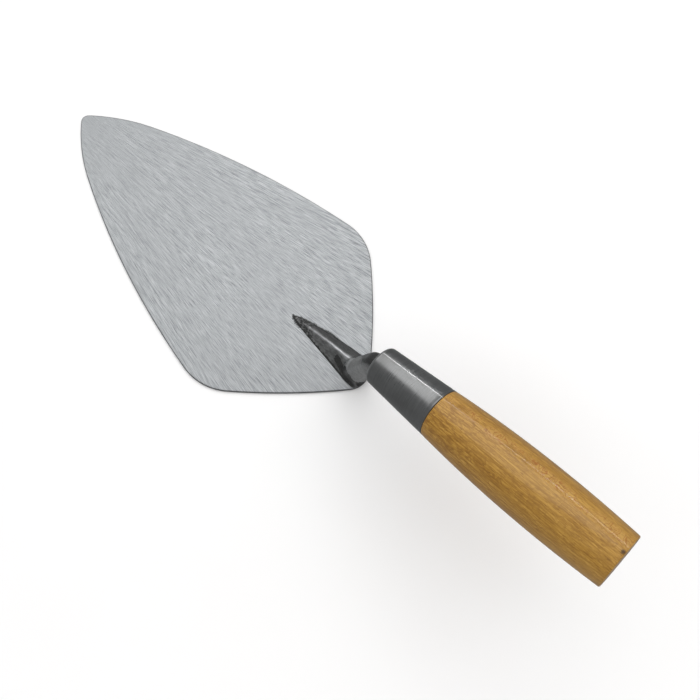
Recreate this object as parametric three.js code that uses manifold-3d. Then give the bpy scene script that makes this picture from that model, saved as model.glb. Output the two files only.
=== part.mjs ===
// A bricklayer's trowel in three pieces. The blade, its shank and the hidden tang are one steel forging. A
// drawn steel ferrule clasps the front of a turned wooden handle, and the tang is driven through the ferrule
// into a blind bore in the wood.
//
// Millimetres, +Z up, +X towards the tip. The origin lies on the blade's flat underside, on the centre line,
// where the blade is widest. The trowel lies as it does on a bench: flat on its blade, handle in the air.
import * as THREE from 'three';
import Module from 'manifold-3d';
import { mergeVertices } from 'three/addons/utils/BufferGeometryUtils.js';

const wasm = await Module();
wasm.setup();

// ---- Driving dimensions ----------------------------------------------------------------------------------
const BLADE_LENGTH = 279.4;
const BLADE_WIDTH = 145;
const HEEL_THICKNESS = 2.4;
const TIP_THICKNESS = 1.3;

// Half the blade's outline, from the heel to the nose, as arcs that run into each other. Each arc turns the
// edge towards the centre line until it heads at the stated angle to it, in degrees. The nose arc's radius
// follows from where the others end.
const HEEL_ARC = { radius: 14, until: 51.2, steps: 6 };
const HEEL_EDGE = { radius: 430, until: 41.1, steps: 4 };
const SHOULDER_TO_WIDEST = { radius: 37.6, until: 0, steps: 9 };
const SHOULDER_TO_SIDE = { radius: 37.6, until: -8.5, steps: 2 };
const SIDE_EDGE = { radius: 608, until: -23.3, steps: 7 };
const FORWARD_EDGE = { radius: 142, until: -42.5, steps: 7 };
const NOSE_STEPS = 7;

// The shank's root is a long triangle on the blade with a ridge along it. Stations are ahead of the heel.
const ROOT_POINT = 63.6;
const ROOT_WIDEST = 10;
const ROOT_BACK = 1.4;
const ROOT_BLUNTNESS = 0.4;
const ROOT_HALF_WIDTH = 10;
const ROOT_TAPER = 0.65;
const ROOT_SWING = 2.7;
const ROOT_HEEL_MARGIN = 0.6;
const ROOT_LIP = 0.7;
const RIDGE_HEIGHT = 10.9;
const RIDGE_TOP = 15;
const FLANK_HOLLOW = 1.3;

// The neck leans back from the root and turns into the ferrule.
const NECK_FOOT = { x: 9.2, y: -1, z: 1, halfWidth: 6.6, halfDepth: 8.4 };
const NECK_END_RADIUS = 5;
const NECK_BEND = 3;
const NECK_UPRIGHT_SHARE = 0.3;
const NECK_TAPER_SHARE = 0.9;

// The handle's axis rises towards the butt. Distances along it start at the ferrule's front face.
const FERRULE_FRONT = { x: -10.4, z: 60 };
const HANDLE_RISE = THREE.MathUtils.degToRad(13.1);
const FERRULE_LENGTH = 43.4;
const FERRULE_FRONT_RADIUS = 11.4;
const FERRULE_REAR_RADIUS = 14.3;
const FERRULE_WALL = 1.3;
const FERRULE_ROUNDING = 1.9;
const HANDLE_LENGTH = 152.8;
const BUTT_RADIUS = 14.95;
const BUTT_ROUNDING = 0.8;
const HANDLE_SWELL = 2.1;
const TANG_END = 100;
const TANG_ROOT_CORNER = 4.7;
const TANG_END_CORNER = 2.4;
const BORE_BEYOND_TANG = 1;
const TENON_CHAMFER = { radius: 1, length: 2 };

const GAP = 0.3;
const SINK = 0.8;              // how far joined bodies reach into each other
const ROUND_STEPS = 48;
const ROOT_STEPS = { around: 28, along: 22 };
const NECK_STEPS = { around: 32, along: 40 };
const GRIP_STEPS = 14;
const ROUND_OFF = 0.01;        // smaller shares of a unit circle count as zero

// ---- Shared helpers --------------------------------------------------------------------------------------
const { lerp, smoothstep } = THREE.MathUtils;

function toSolid(geometry) {
  const bare = geometry.index ? geometry.clone() : mergeVertices(geometry);
  bare.deleteAttribute('normal');
  bare.deleteAttribute('uv');
  const welded = mergeVertices(bare, 1e-4);
  const mesh = new wasm.Mesh({
    numProp: 3,
    vertProperties: new Float32Array(welded.attributes.position.array),
    triVerts: new Uint32Array(welded.index.array),
  });
  return new wasm.Manifold(mesh);
}

function toGeometry(solid) {
  const mesh = solid.getMesh();
  const geometry = new THREE.BufferGeometry();
  geometry.setAttribute('position', new THREE.BufferAttribute(mesh.vertProperties, 3));
  geometry.setIndex(new THREE.BufferAttribute(mesh.triVerts, 1));
  geometry.computeVertexNormals();
  return geometry;
}

// A closed body made by moving each point of a unit cylinder: place(t, side, up, point) puts the point at
// share t of the length, and (side, up) of the unit circle, where it belongs.
function shapedCylinder(around, along, place) {
  const geometry = new THREE.CylinderGeometry(1, 1, 1, around, along);
  const position = geometry.attributes.position;
  const point = new THREE.Vector3();
  for (let i = 0; i < position.count; i += 1) {
    place(position.getY(i) + 0.5, position.getX(i), position.getZ(i), point);
    position.setXYZ(i, point.x, point.y, point.z);
  }
  return geometry;
}

// ---- Blade -----------------------------------------------------------------------------------------------
// The left half of the edge from the heel's end at (0, 0) to the tip, before it is stretched to size.
function halfOutline() {
  const points = [new THREE.Vector2(0, 0)];
  let heading = Math.PI / 2;
  let widest = 0;
  const follow = (radius, until, steps) => {
    const start = points.at(-1);
    const centre = new THREE.Vector2(
      start.x + radius * Math.sin(heading),
      start.y - radius * Math.cos(heading),
    );
    for (let i = 1; i <= steps; i += 1) {
      const angle = lerp(heading, until, i / steps);
      points.push(new THREE.Vector2(centre.x - radius * Math.sin(angle), centre.y + radius * Math.cos(angle)));
    }
    heading = until;
  };
  for (const arc of [HEEL_ARC, HEEL_EDGE, SHOULDER_TO_WIDEST, SHOULDER_TO_SIDE, SIDE_EDGE, FORWARD_EDGE]) {
    follow(arc.radius, THREE.MathUtils.degToRad(arc.until), arc.steps);
    if (arc === SHOULDER_TO_WIDEST) widest = points.length - 1;
  }
  follow(points.at(-1).y / Math.cos(heading), -Math.PI / 2, NOSE_STEPS);
  const stretch = new THREE.Vector2(BLADE_LENGTH / points.at(-1).x, BLADE_WIDTH / 2 / points[widest].y);
  points.forEach((p) => p.multiply(stretch));
  points.at(-1).y = 0;
  return { points, widestStation: points[widest].x };
}

const { points: bladeEdge, widestStation } = halfOutline();

function bladeThickness(station) {
  return lerp(HEEL_THICKNESS, TIP_THICKNESS, station / BLADE_LENGTH);
}

// Flat below, and thinning evenly from the heel to the tip above.
function bladeGeometry() {
  const rightSide = bladeEdge.slice(1, -1).reverse().map((p) => new THREE.Vector2(p.x, -p.y));
  const outline = new THREE.Shape([...bladeEdge, ...rightSide]);
  const geometry = new THREE.ExtrudeGeometry(outline, { depth: 1, bevelEnabled: false });
  const position = geometry.attributes.position;
  for (let i = 0; i < position.count; i += 1) {
    if (position.getZ(i) > 0.5) position.setZ(i, bladeThickness(position.getX(i)));
  }
  return geometry;
}

// ---- Shank -----------------------------------------------------------------------------------------------
// 0 at the root's point, and 1 at its widest station and behind it.
function rootShare(station) {
  const reach = ROOT_POINT + ROOT_BLUNTNESS - ROOT_WIDEST;
  return Math.min(1, (ROOT_POINT + ROOT_BLUNTNESS - station) / reach);
}

// The root's edge on one side. Forging has swung its wide end to the blade's right, and behind its widest
// station it stays inside the blade's rounded heel.
function rootEdge(station, side) {
  const share = rootShare(station);
  const middle = -ROOT_SWING * (1 - (1 - share) ** 2);
  const edge = middle + side * ROOT_HALF_WIDTH * share ** ROOT_TAPER;
  const aheadOfHeel = Math.min(station, HEEL_ARC.radius);
  const heelHalfWidth = Math.sqrt(HEEL_ARC.radius ** 2 - (HEEL_ARC.radius - aheadOfHeel) ** 2);
  const limit = heelHalfWidth - ROOT_HEEL_MARGIN;
  return THREE.MathUtils.clamp(edge, -limit, limit);
}

function ridgeHeight(station) {
  const rising = (ROOT_POINT - station) / (ROOT_POINT - RIDGE_TOP);
  const falling = station / NECK_FOOT.x;
  return RIDGE_HEIGHT * Math.min(1, rising, falling);
}

// The root's flanks are hollow: they sweep up from a thin edge to the crest.
function rootGeometry() {
  return shapedCylinder(ROOT_STEPS.around, ROOT_STEPS.along, (t, side, up, point) => {
    const station = lerp(ROOT_POINT, ROOT_BACK, t);
    const lip = bladeThickness(station) + ROOT_LIP;
    const flank = ridgeHeight(station) * (1 - Math.abs(side)) ** FLANK_HOLLOW;
    point.set(station, rootEdge(station, side), up < -ROUND_OFF ? SINK : lip + flank);
  });
}

const handleDirection = new THREE.Vector3(-Math.cos(HANDLE_RISE), 0, Math.sin(HANDLE_RISE));

function onHandleAxis(distance) {
  const front = new THREE.Vector3(FERRULE_FRONT.x, 0, FERRULE_FRONT.z);
  return front.addScaledVector(handleDirection, distance);
}

// The neck ends, and the tang begins, just inside the ferrule's front wall.
const NECK_END = FERRULE_WALL + SINK;

function neckPath() {
  const foot = new THREE.Vector3(NECK_FOOT.x, NECK_FOOT.y, NECK_FOOT.z);
  const corner = onHandleAxis(-NECK_BEND);
  const bendStart = corner.clone().addScaledVector(foot.clone().sub(corner).normalize(), NECK_BEND);
  const path = new THREE.CurvePath();
  path.add(new THREE.LineCurve3(foot, bendStart));
  path.add(new THREE.QuadraticBezierCurve3(bendStart, corner, onHandleAxis(0)));
  path.add(new THREE.LineCurve3(onHandleAxis(0), onHandleAxis(NECK_END)));
  return path;
}

// An oval bar that is level at its foot, tapers upwards and is round where it enters the ferrule.
function neckGeometry() {
  const path = neckPath();
  const across = new THREE.Vector3(0, 1, 0);
  const upright = new THREE.Vector3(0, 0, 1);
  return shapedCylinder(NECK_STEPS.around, NECK_STEPS.along, (t, side, up, point) => {
    const direction = upright.clone().lerp(path.getTangentAt(t), smoothstep(t, 0, NECK_UPRIGHT_SHARE)).normalize();
    const forward = across.clone().cross(direction).normalize();
    const taper = Math.min(t / NECK_TAPER_SHARE, 1);
    point.copy(path.getPointAt(t));
    point.addScaledVector(across, side * lerp(NECK_FOOT.halfWidth, NECK_END_RADIUS, taper));
    point.addScaledVector(forward, up * lerp(NECK_FOOT.halfDepth, NECK_END_RADIUS, taper));
  });
}

// A square spike that tapers into the wood.
function tangGeometry() {
  const start = NECK_END - SINK / 2;
  const geometry = new THREE.CylinderGeometry(TANG_END_CORNER, TANG_ROOT_CORNER, TANG_END - start, 4);
  const turn = new THREE.Quaternion().setFromUnitVectors(new THREE.Vector3(0, 1, 0), handleDirection);
  const middle = onHandleAxis((start + TANG_END) / 2);
  return geometry.applyQuaternion(turn).translate(middle.x, middle.y, middle.z);
}

function forgingGeometry() {
  const pieces = [bladeGeometry(), rootGeometry(), neckGeometry(), tangGeometry()];
  return toGeometry(pieces.map(toSolid).reduce((whole, next) => whole.add(next)));
}

// ---- Ferrule and handle, turned about +Y with their front face at y = 0 -----------------------------------
function ferruleRadius(distance) {
  return lerp(FERRULE_FRONT_RADIUS, FERRULE_REAR_RADIUS, distance / FERRULE_LENGTH);
}

// A quarter circle from one direction to the next, as points about a centre.
function quarterRound(centreRadius, centreDistance, radius, startAngle, endAngle, steps) {
  return Array.from({ length: steps + 1 }, (_, i) => {
    const angle = lerp(startAngle, endAngle, i / steps);
    return new THREE.Vector2(
      centreRadius + radius * Math.cos(angle),
      centreDistance + radius * Math.sin(angle),
    );
  });
}

// A tapered cup with a rounded front edge and a hole for the neck.
function ferruleGeometry() {
  const hole = NECK_END_RADIUS + GAP;
  const roundingCentre = ferruleRadius(FERRULE_ROUNDING) - FERRULE_ROUNDING;
  const profile = [
    new THREE.Vector2(hole, 0),
    ...quarterRound(roundingCentre, FERRULE_ROUNDING, FERRULE_ROUNDING, -Math.PI / 2, 0, 5),
    new THREE.Vector2(FERRULE_REAR_RADIUS, FERRULE_LENGTH),
    new THREE.Vector2(FERRULE_REAR_RADIUS - FERRULE_WALL, FERRULE_LENGTH),
    new THREE.Vector2(ferruleRadius(FERRULE_ROUNDING) - FERRULE_WALL, FERRULE_ROUNDING),
    new THREE.Vector2(roundingCentre, FERRULE_WALL),
    new THREE.Vector2(hole, FERRULE_WALL),
    new THREE.Vector2(hole, 0),
  ];
  return new THREE.LatheGeometry(profile, ROUND_STEPS);
}

// The grip swells in one long curve between the ferrule and the butt.
function gripRadius(share) {
  return lerp(FERRULE_REAR_RADIUS, BUTT_RADIUS, share) + HANDLE_SWELL * (1 - (2 * share - 1) ** 2);
}

function handleGeometry() {
  const bore = TANG_ROOT_CORNER + GAP;
  const boreEnd = TANG_END + BORE_BEYOND_TANG;
  const tenonFront = NECK_END + GAP;
  const tenonGap = FERRULE_WALL + GAP;
  const gripStart = FERRULE_LENGTH + GAP;
  const gripEnd = HANDLE_LENGTH - BUTT_ROUNDING;
  const chamferEnd = tenonFront + TENON_CHAMFER.length;
  const profile = [
    new THREE.Vector2(0, boreEnd + bore / 2),
    new THREE.Vector2(bore, boreEnd),
    new THREE.Vector2(bore, tenonFront),
    new THREE.Vector2(ferruleRadius(tenonFront) - tenonGap - TENON_CHAMFER.radius, tenonFront),
    new THREE.Vector2(ferruleRadius(chamferEnd) - tenonGap, chamferEnd),
    new THREE.Vector2(FERRULE_REAR_RADIUS - tenonGap, gripStart),
  ];
  for (let i = 0; i <= GRIP_STEPS; i += 1) {
    const share = i / GRIP_STEPS;
    profile.push(new THREE.Vector2(gripRadius(share), lerp(gripStart, gripEnd, share)));
  }
  const cornerCentre = gripRadius(1) - BUTT_ROUNDING;
  profile.push(...quarterRound(cornerCentre, gripEnd, BUTT_ROUNDING, 0, Math.PI / 2, 3).slice(1));
  profile.push(new THREE.Vector2(0, HANDLE_LENGTH));
  return new THREE.LatheGeometry(profile, ROUND_STEPS);
}

// ---- Assembly --------------------------------------------------------------------------------------------
const forgedSteel = new THREE.MeshStandardMaterial({ color: 0xb4b9bc, roughness: 0.36, metalness: 1 });
const ferruleSteel = new THREE.MeshStandardMaterial({ color: 0x8b8d8f, roughness: 0.28, metalness: 1 });
const varnishedWood = new THREE.MeshStandardMaterial({ color: 0xc98f4b, roughness: 0.3, metalness: 0 });

function namedMesh(name, geometry, material) {
  const mesh = new THREE.Mesh(geometry, material);
  mesh.name = name;
  return mesh;
}

// Everything is laid out from the heel, and then moved so that the origin is where the blade is widest.
const trowel = new THREE.Group();
const fromHeel = new THREE.Group();
fromHeel.position.x = -widestStation;
trowel.add(fromHeel);
fromHeel.add(namedMesh('blade_forging', forgingGeometry(), forgedSteel));

const grip = new THREE.Group();
grip.position.set(FERRULE_FRONT.x, 0, FERRULE_FRONT.z);
grip.rotation.set(0, HANDLE_RISE, Math.PI / 2, 'YXZ');
grip.add(namedMesh('ferrule', ferruleGeometry(), ferruleSteel));
grip.add(namedMesh('handle', handleGeometry(), varnishedWood));
fromHeel.add(grip);

export default trowel;
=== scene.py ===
"""A bricklayer's trowel lying on a pale studio floor.

The forging (blade, root, neck and tang), the ferrule and the handle are built here as fine meshes that stand
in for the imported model's plain solids. Their lengths are millimetres, and their places are measured from the
blade's heel, until to_frame moves a finished mesh. +X runs to the blade's tip, +Y to its left side and +Z up.
"""

import math

import bmesh
import bpy
import numpy as np
from mathutils import Matrix, Vector, noise
from mathutils.geometry import delaunay_2d_cdt


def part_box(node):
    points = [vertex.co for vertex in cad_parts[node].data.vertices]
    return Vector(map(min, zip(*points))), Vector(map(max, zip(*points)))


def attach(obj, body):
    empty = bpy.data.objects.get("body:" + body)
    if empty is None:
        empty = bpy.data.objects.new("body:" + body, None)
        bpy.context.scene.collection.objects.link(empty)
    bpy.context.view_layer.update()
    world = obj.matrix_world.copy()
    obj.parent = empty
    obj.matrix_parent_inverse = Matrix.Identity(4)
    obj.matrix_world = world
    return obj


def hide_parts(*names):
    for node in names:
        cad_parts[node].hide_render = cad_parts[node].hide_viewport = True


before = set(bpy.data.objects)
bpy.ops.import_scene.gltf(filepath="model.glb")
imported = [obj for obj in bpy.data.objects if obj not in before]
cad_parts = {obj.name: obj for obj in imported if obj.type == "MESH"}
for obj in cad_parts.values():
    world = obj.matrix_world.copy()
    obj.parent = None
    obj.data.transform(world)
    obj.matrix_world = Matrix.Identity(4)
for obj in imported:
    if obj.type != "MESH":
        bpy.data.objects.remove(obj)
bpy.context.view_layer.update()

MM = 0.001
forging_low, forging_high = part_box("blade_forging")

# ---- Driving dimensions, in millimetres -------------------------------------------------------------------
BLADE_LENGTH = 279.4
BLADE_WIDTH = (forging_high.y - forging_low.y) / MM
TIP_IN_FRAME = forging_high.x / MM
HEEL_THICKNESS = 2.4
TIP_THICKNESS = 1.3
RIM_THINNING = 0.25          # the blade is ground thinner towards its edge by this share
RIM_REACH = 26
BLADE_WAVE = 0.05            # how far hand grinding leaves the faces from flat

# Arcs of half the outline, from the heel: radius, and heading at the end in degrees
OUTLINE_ARCS = [(14, 51.2), (430, 41.1), (37.6, 0), (37.6, -8.5), (608, -23.3), (142, -42.5)]
WIDEST_ARC = 2               # the arc, counted from 0, that ends where the blade is widest
OUTLINE_STEP = 1.6           # between the outline's points
FACE_SPACING = 3.2           # between the points of the blade's faces
# The rim's section, from the underside up: how far in, and how high as a share of the rim's thickness
RIM_SECTION = ((0.45, 0.0), (0.12, 0.08), (0.0, 0.28), (0.0, 0.66), (0.1, 0.88), (0.36, 0.985), (0.8, 1.0))

ROOT_POINT = 63.6
ROOT_WIDEST = 10
ROOT_HALF_WIDTH = 10
ROOT_TAPER = 0.65            # the root's sides are straight at 1 and rounder below it
ROOT_SWING = 2.7             # how far its wide end lies to the right of the blade's centre line
ROOT_HEEL_MARGIN = 0.75
ROOT_LIP = 0.7
RIDGE_HEIGHT = 10.9
RIDGE_TOP = 15
FLANK_HOLLOW = 1.3           # the flanks are flat at 1 and hollower above it
CREST_ROUNDING = 0.7

NECK_FOOT = Vector((9.2, -1, 1))
NECK_FOOT_HALF_WIDTH = 6.6
NECK_FOOT_HALF_DEPTH = 8.6
NECK_END_RADIUS = 5
NECK_BEND = 3
NECK_TAPER_SHARE = 0.9       # the neck has its end radius beyond this share of its length
SKIN_STEP = 0.4              # the grid on which the root and the neck are joined
SKIN_LOW = (-18, -13.2, 0.9)
SKIN_HIGH = (ROOT_POINT + 2, 13.6, 70)

FERRULE_FRONT = Vector((-10.4, 0, 60))
HANDLE_RISE = math.radians(13.1)
FERRULE_LENGTH = 43.4
FERRULE_FRONT_RADIUS = 11.4
FERRULE_REAR_RADIUS = 14.3
FERRULE_WALL = 1.3
FERRULE_ROUNDING = 1.9
# The line pressed near the ferrule's rear edge: distance from that edge, and depth
PRESSED_LINE = ((2.4, 0.05), (2.15, 0.16), (1.9, 0.2), (1.65, 0.16), (1.4, 0.04), (1.1, 0.0), (0.5, 0.0))
HANDLE_LENGTH = 152.74
BUTT_RADIUS = 14.9
BUTT_ROUNDING = 0.8
HANDLE_SWELL = 2.1
TANG_START = 1.5
TANG_END = 100
TANG_POINT = 4               # the length of the tang's blunt point
TANG_ROOT_CORNER = 4.7       # from the tang's axis to its corners
TANG_END_CORNER = 2.4
TANG_POINT_CORNER = 0.8
TENON_START = 2.4
TENON_CHAMFER = Vector((1, 2))      # across and along the axis
GRIP_GAP = 0.12              # between the ferrule's rear edge and the grip
KNOT = (15, 0, 151.5)               # a pin knot in the handle: up, to the left, and along its axis
PITH_DEPTH = 70                     # the tree's middle lies this far below the handle's axis
RING_SPACING = 1.7
HIGHLIGHT_LINE_ANGLE = math.radians(-14)      # where the ferrule's painted highlight line lies, from its top towards the blade's left
HANDLE_DIRECTION = Vector((-math.cos(HANDLE_RISE), 0, math.sin(HANDLE_RISE)))


# ---- Small helpers ----------------------------------------------------------------------------------------
def mix(a, b, share):
    return a + (b - a) * share


def smoothstep(low, high, x):
    share = np.clip((x - low) / (high - low), 0, 1)
    return share * share * (3 - 2 * share)


def smooth_min(a, b, reach):
    share = np.clip(0.5 + 0.5 * (b - a) / reach, 0, 1)
    return mix(b, a, share) - reach * share * (1 - share)


def smooth_max(a, b, reach):
    return -smooth_min(-a, -b, reach)


def on_handle_axis(distance):
    return FERRULE_FRONT + HANDLE_DIRECTION * distance


def new_object(name, points, faces):
    """A mesh object from points in millimetres from the heel."""
    mesh = bpy.data.meshes.new(name)
    mesh.from_pydata([tuple(p) for p in points], [], faces)
    mesh.validate()
    piece = bpy.data.objects.new(name, mesh)
    bpy.context.scene.collection.objects.link(piece)
    return piece


def face_outwards(piece):
    shape = bmesh.new()
    shape.from_mesh(piece.data)
    bmesh.ops.remove_doubles(shape, verts=shape.verts, dist=1e-5)
    bmesh.ops.recalc_face_normals(shape, faces=shape.faces)
    shape.to_mesh(piece.data)
    shape.free()


def apply_modifiers(piece):
    depsgraph = bpy.context.evaluated_depsgraph_get()
    finished = bpy.data.meshes.new_from_object(piece.evaluated_get(depsgraph))
    piece.modifiers.clear()
    piece.data = finished


def unite(piece, other):
    """Joins another closed mesh to a closed mesh, leaving one skin."""
    join = piece.modifiers.new("join", "BOOLEAN")
    join.operation = "UNION"
    join.solver = "EXACT"
    join.object = other
    apply_modifiers(piece)
    bpy.data.objects.remove(other)


def vertices_of(piece):
    values = np.empty(len(piece.data.vertices) * 3)
    piece.data.vertices.foreach_get("co", values)
    return values.reshape(-1, 3)


def to_frame(piece):
    """Moves a mesh from millimetres off the heel to the frame's metres and origin."""
    shift = Matrix.Translation((TIP_IN_FRAME - BLADE_LENGTH, 0, 0))
    piece.data.transform(Matrix.Scale(MM, 4) @ shift)


def add_values(piece, name, values):
    """Stores one number, or one vector, for each vertex, for the material to read."""
    kind = "FLOAT" if values.ndim == 1 else "FLOAT_VECTOR"
    attribute = piece.data.attributes.new(name, kind, "POINT")
    field = "value" if values.ndim == 1 else "vector"
    attribute.data.foreach_set(field, values.astype(np.float32).ravel())


def lathe(name, profile, steps):
    """Turns a closed profile of (radius, distance) about +Z; each point on the axis is made once."""
    points, rings = [], []
    for radius, distance in profile:
        if radius < 1e-6:
            rings.append([len(points)] * steps)
            points.append((0, 0, distance))
        else:
            rings.append(list(range(len(points), len(points) + steps)))
            angles = (2 * math.pi * i / steps for i in range(steps))
            points += [(radius * math.cos(a), radius * math.sin(a), distance) for a in angles]
    faces = []
    for here, there in zip(rings, rings[1:]):
        for i in range(steps):
            j = (i + 1) % steps
            corners = list(dict.fromkeys((here[i], here[j], there[j], there[i])))
            if len(corners) > 2:
                faces.append(corners)
    piece = new_object(name, points, faces)
    face_outwards(piece)
    return piece


def onto_handle_axis(piece):
    """Turns a mesh made along +Z onto the handle's axis, its zero at the ferrule's front face."""
    turn = Vector((0, 0, 1)).rotation_difference(HANDLE_DIRECTION).to_matrix().to_4x4()
    piece.data.transform(Matrix.Translation(FERRULE_FRONT) @ turn)


def quarter_round(centre_radius, centre_distance, radius, start, end, steps):
    """A quarter circle between two directions in degrees, as (radius, distance) points."""
    angles = [math.radians(mix(start, end, i / steps)) for i in range(steps + 1)]
    return [(centre_radius + radius * math.cos(a), centre_distance + radius * math.sin(a)) for a in angles]


# ---- Blade ------------------------------------------------------------------------------------------------
def half_outline():
    """The left half of the blade's edge, heel to tip, as arcs that run into each other."""
    points = [np.array((0.0, 0.0))]
    heading = math.pi / 2
    widest = 0

    def follow(radius, until):
        nonlocal heading
        start = points[-1]
        centre = start + radius * np.array((math.sin(heading), -math.cos(heading)))
        steps = max(3, round(radius * abs(heading - until) / OUTLINE_STEP))
        for i in range(1, steps + 1):
            angle = mix(heading, until, i / steps)
            points.append(centre + radius * np.array((-math.sin(angle), math.cos(angle))))
        heading = until

    for number, (radius, until) in enumerate(OUTLINE_ARCS):
        follow(radius, math.radians(until))
        if number == WIDEST_ARC:
            widest = len(points) - 1
    follow(points[-1][1] / math.cos(heading), -math.pi / 2)
    half = np.array(points)
    half *= (BLADE_LENGTH / half[-1][0], BLADE_WIDTH / 2 / half[widest][1])
    half[-1][1] = 0
    return half


def blade_outline():
    """The whole edge, counter-clockwise from the heel's middle."""
    half = half_outline()
    right = half[:-1] * (1, -1)
    return np.vstack((right, half[:0:-1]))


def inset(outline, distance):
    """The outline moved inwards by a distance."""
    along = np.roll(outline, -1, axis=0) - np.roll(outline, 1, axis=0)
    along /= np.linalg.norm(along, axis=1)[:, None]
    return outline + distance * np.column_stack((-along[:, 1], along[:, 0]))


def distance_to_edge(points, outline):
    """How far points lie inside the outline; negative outside it."""
    start, end = outline, np.roll(outline, -1, axis=0)
    along = end - start
    nearest = np.full(len(points), np.inf)
    inside = np.zeros(len(points), bool)
    for a, d in zip(start, along):
        offset = points - a
        share = np.clip(offset @ d / (d @ d), 0, 1)
        nearest = np.minimum(nearest, np.linalg.norm(offset - share[:, None] * d, axis=1))
        crosses = (a[1] > points[:, 1]) != (a[1] + d[1] > points[:, 1])
        with np.errstate(divide="ignore", invalid="ignore"):
            at = a[0] + (points[:, 1] - a[1]) / d[1] * d[0]
        inside ^= crosses & (points[:, 0] < at)
    return np.where(inside, nearest, -nearest)


def plate_top(x):
    return mix(HEEL_THICKNESS, TIP_THICKNESS, x / BLADE_LENGTH)


def ground_top(points, depth):
    """The upper face's height: thinner towards the rim, with the slight waves of hand grinding."""
    thin = RIM_THINNING * (1 - smoothstep(0, RIM_REACH, depth))
    wave = np.array([noise.noise(Vector((x / 55, y / 30, 0.3))) for x, y in points])
    fade = smoothstep(0, 12, depth)
    return plate_top(points[:, 0]) * (1 - thin) - BLADE_WAVE * (1 - wave) * fade


def blade_plate():
    outline = blade_outline()
    count = len(outline)
    rim = plate_top(outline[:, 0]) * (1 - RIM_THINNING)
    rings = [np.column_stack((inset(outline, depth), rim * share)) for depth, share in RIM_SECTION]
    points = list(np.vstack(rings))
    faces = []
    top_ring = len(RIM_SECTION) - 1
    for ring in range(top_ring):
        for i in range(count):
            j = (i + 1) % count
            here, there = ring * count, (ring + 1) * count
            faces.append((here + i, here + j, there + j, there + i))

    xs = np.arange(FACE_SPACING, BLADE_LENGTH, FACE_SPACING)
    ys = np.arange(-BLADE_WIDTH / 2, BLADE_WIDTH / 2, FACE_SPACING * math.sqrt(3) / 2)
    grid = np.array([(x + FACE_SPACING / 2 * (row % 2), y) for row, y in enumerate(ys) for x in xs])
    edges = [(i, (i + 1) % count) for i in range(count)]
    for ring in (top_ring, 0):
        border = inset(outline, RIM_SECTION[ring][0])
        inner = grid[distance_to_edge(grid, border) > FACE_SPACING * 0.55]
        flat = [Vector(p) for p in np.vstack((border, inner))]
        made, _, triangles, origin, _, _ = delaunay_2d_cdt(flat, edges, [], 1, 1e-6)
        assert len(made) == len(flat)
        start = len(points)
        heights = np.zeros(len(inner))
        if ring:
            heights = ground_top(inner, distance_to_edge(inner, outline))
        points += list(np.column_stack((inner, heights)))

        def number(i):
            return ring * count + i if i < count else start + i - count

        for triangle in triangles:
            corners = [number(origin[i][0]) for i in triangle]
            faces.append(corners if ring else corners[::-1])
    piece = new_object("forged_blade", points, faces)
    face_outwards(piece)
    return piece


# ---- Shank ------------------------------------------------------------------------------------------------
def root_half_width(x):
    share = np.clip((ROOT_POINT - x) / (ROOT_POINT - ROOT_WIDEST), 0, 1)
    return ROOT_HALF_WIDTH * share**ROOT_TAPER


def root_middle(x):
    """The crest's distance from the blade's centre line: forging has swung the root's wide end aside."""
    share = np.clip((x - ROOT_WIDEST) / (ROOT_POINT - ROOT_WIDEST), 0, 1)
    return -ROOT_SWING * (1 - share**2)


def ridge_height(x):
    rising = (ROOT_POINT - x) / (ROOT_POINT - RIDGE_TOP)
    falling = x / NECK_FOOT.x
    return RIDGE_HEIGHT * np.clip(np.minimum(rising, falling), 0, 1)


def root_roof(x, y):
    """The height of the root's hollow flanks and crest."""
    from_crest = np.sqrt((y - root_middle(x)) ** 2 + CREST_ROUNDING**2)
    share = np.clip(from_crest / np.maximum(root_half_width(x), 0.2), 0, 1)
    return plate_top(x) + ROOT_LIP + ridge_height(x) * (1 - share) ** FLANK_HOLLOW


def beyond_heel(x, y):
    """How far points are outside the blade's rounded heel, less the root's margin inside it."""
    radius = OUTLINE_ARCS[0][0]
    return np.hypot(np.minimum(x - radius, 0), y) - (radius - ROOT_HEEL_MARGIN)


def root_distance(x, y, z):
    """Roughly how far points are outside the root: a low ridge with hollow flanks and a thin lip."""
    xx, yy = x[:, :, 0], y[:, :, 0]
    step = xx[1, 0] - xx[0, 0]
    roof = root_roof(xx, yy)
    slope_x, slope_y = np.gradient(roof, step, step)
    steep = np.sqrt(1 + np.minimum(slope_x**2 + slope_y**2, 4))
    above = (z - roof[:, :, None]) / steep[:, :, None]
    half = root_half_width(xx)
    edge_slope = np.clip(np.gradient(half, step, axis=0), -3, 3)
    beside = (np.abs(yy - root_middle(xx)) - half) / np.sqrt(1 + edge_slope**2)
    outside = smooth_max(beside, beyond_heel(xx, yy), 1.0)
    return smooth_max(above, outside[:, :, None], 0.5)


def neck_path():
    """Points along the neck's middle: up from the foot, a tight bend, and into the ferrule."""
    corner = on_handle_axis(-NECK_BEND)
    back = (NECK_FOOT - corner).normalized()
    bend_start = corner + back * NECK_BEND
    path = [NECK_FOOT.lerp(bend_start, i / 60) for i in range(60)]
    for i in range(24):
        t = i / 24
        path.append((1 - t) ** 2 * bend_start + 2 * t * (1 - t) * corner + t**2 * on_handle_axis(0))
    path += [on_handle_axis(i / 4) for i in range(12)]
    return np.array([(p.x, p.z) for p in path])


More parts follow.
